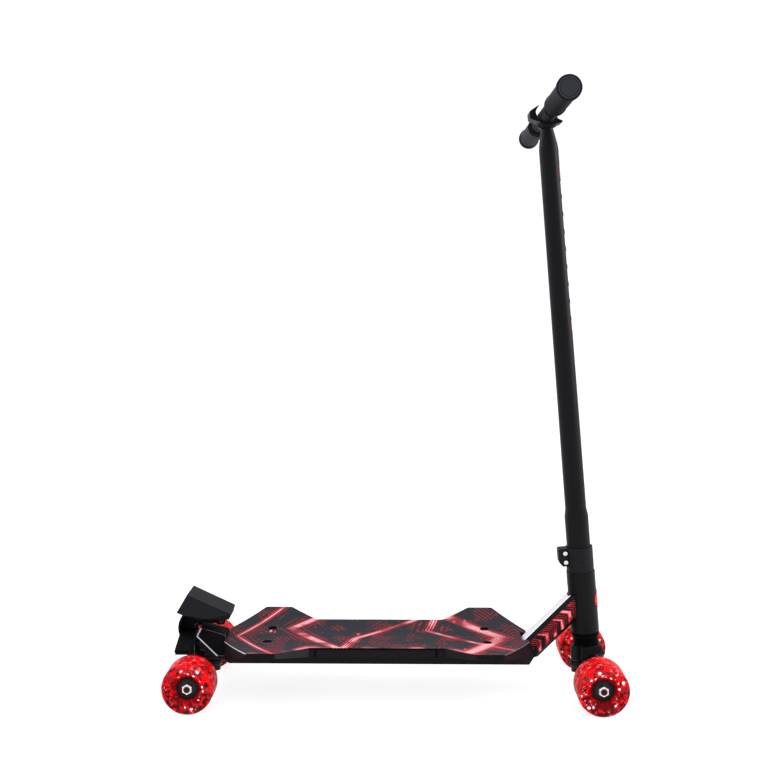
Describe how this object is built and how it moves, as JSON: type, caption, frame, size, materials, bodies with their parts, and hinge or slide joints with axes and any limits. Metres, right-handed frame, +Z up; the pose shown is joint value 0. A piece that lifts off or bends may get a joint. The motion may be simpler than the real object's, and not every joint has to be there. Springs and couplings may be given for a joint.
{
  "type": "four wheeled carving scooter",
  "caption": "Kick scooter with a dog-bone deck, a T handlebar, lean-to-steer trucks front and rear, broad red wheels and a faceted foot brake over the rear axle",
  "frame": {"origin": "on the floor in the centre plane, midway between the axles", "axes": "+X forward, +Y to the rider's left, +Z up"},
  "size_m": [0.628, 0.412, 0.8205],
  "materials": {
    "deck_plastic": "moulded black, printed top",
    "charcoal_plastic": "matt moulded",
    "black_frame": "black powder coat over aluminium",
    "black_cast": "black coated casting",
    "grip_rubber": "matt rubber",
    "wheel_urethane": "clear red cast urethane",
    "bushing_urethane": "cast urethane",
    "core_plastic": "clear moulded core",
    "bright_steel": "zinc plated"
  },
  "bodies": {
    "chassis": {"deck": "deck_plastic", "deck_bolt_1": "bright_steel", "deck_bolt_2": "bright_steel", "deck_bolt_3": "bright_steel", "deck_bolt_4": "bright_steel", "spine": "black_frame", "neck": "black_frame", "head_tube": "black_frame", "headset_lower": "black_cast", "headset_upper": "black_cast", "rear_riser": "black_frame", "rear_truck_base": "black_cast", "rear_kingpin": "bright_steel", "rear_kingpin_nut": "bright_steel", "rear_bushing_upper": "bushing_urethane", "rear_bushing_lower": "bushing_urethane"},
    "steering": {"fork": "black_cast", "stem": "black_frame", "collar_clamp": "black_cast", "clamp_bolt_1": "bright_steel", "clamp_bolt_2": "bright_steel", "crossbar": "black_frame", "handle_holder": "charcoal_plastic", "front_truck_base": "black_cast", "front_kingpin": "bright_steel", "front_kingpin_nut": "bright_steel", "front_bushing_upper": "bushing_urethane", "front_bushing_lower": "bushing_urethane"},
    "handle_left": {"handle_tube_left": "bright_steel", "grip_left": "grip_rubber", "snap_button_left": "bright_steel"},
    "handle_right": {"handle_tube_right": "bright_steel", "grip_right": "grip_rubber", "snap_button_right": "bright_steel"},
    "front_truck": {"front_hanger": "black_cast", "front_axle": "bright_steel", "axle_nut_front_left": "bright_steel", "axle_nut_front_right": "bright_steel"},
    "rear_truck": {"rear_hanger": "black_cast", "rear_axle": "bright_steel", "axle_nut_rear_left": "bright_steel", "axle_nut_rear_right": "bright_steel", "brake_yoke": "black_cast", "brake_pin": "bright_steel", "brake_spring": "bright_steel"},
    "brake": {"brake_pedal": "charcoal_plastic", "brake_pad_left": "grip_rubber", "brake_pad_right": "grip_rubber"},
    "wheel_front_left": {"tyre_front_left": "wheel_urethane", "hub_core_front_left": "core_plastic", "bearings_front_left": "bright_steel"},
    "wheel_front_right": {"tyre_front_right": "wheel_urethane", "hub_core_front_right": "core_plastic", "bearings_front_right": "bright_steel"},
    "wheel_rear_left": {"tyre_rear_left": "wheel_urethane", "hub_core_rear_left": "core_plastic", "bearings_rear_left": "bright_steel"},
    "wheel_rear_right": {"tyre_rear_right": "wheel_urethane", "hub_core_rear_right": "core_plastic", "bearings_rear_right": "bright_steel"}
  },
  "joints": [
    {"name": "steer", "type": "hinge", "parent": "chassis", "child": "steering", "pos_m": [0.2752, 0, 0.035], "axis": [-0.0872, 0, 0.9962], "range_deg": [-35, 35]},
    {"name": "front_lean", "type": "hinge", "parent": "steering", "child": "front_truck", "pos_m": [0.259, 0, 0.03775], "axis": [0.8944, 0, 0.4472], "range_deg": [-10, 10], "stiffness_Nm_per_rad": 45, "deforming": ["front_bushing_upper", "front_bushing_lower"]},
    {"name": "rear_lean", "type": "hinge", "parent": "chassis", "child": "rear_truck", "pos_m": [-0.259, 0, 0.03775], "axis": [-0.8944, 0, 0.4472], "range_deg": [-10, 10], "stiffness_Nm_per_rad": 45, "deforming": ["rear_bushing_upper", "rear_bushing_lower"]},
    {"name": "brake_press", "type": "hinge", "parent": "rear_truck", "child": "brake", "pos_m": [-0.246, 0, 0.103], "axis": [0, -1, 0], "range_deg": [0, 2.6], "stiffness_Nm_per_rad": 2, "springref_deg": -8.59, "deforming": ["brake_spring"]},
    {"name": "handle_pull_left", "type": "slide", "parent": "steering", "child": "handle_left", "axis": [0, 1, 0], "range_m": [0, 0.05], "deforming": ["snap_button_left"]},
    {"name": "handle_pull_right", "type": "slide", "parent": "steering", "child": "handle_right", "axis": [0, -1, 0], "range_m": [0, 0.05], "deforming": ["snap_button_right"]},
    {"name": "spin_front_left", "type": "hinge", "parent": "front_truck", "child": "wheel_front_left", "pos_m": [0.279, 0.086, 0.035], "axis": [0, 1, 0], "continuous": true},
    {"name": "spin_front_right", "type": "hinge", "parent": "front_truck", "child": "wheel_front_right", "pos_m": [0.279, -0.086, 0.035], "axis": [0, 1, 0], "continuous": true},
    {"name": "spin_rear_left", "type": "hinge", "parent": "rear_truck", "child": "wheel_rear_left", "pos_m": [-0.279, 0.086, 0.035], "axis": [0, 1, 0], "continuous": true},
    {"name": "spin_rear_right", "type": "hinge", "parent": "rear_truck", "child": "wheel_rear_right", "pos_m": [-0.279, -0.086, 0.035], "axis": [0, 1, 0], "continuous": true}
  ]
}
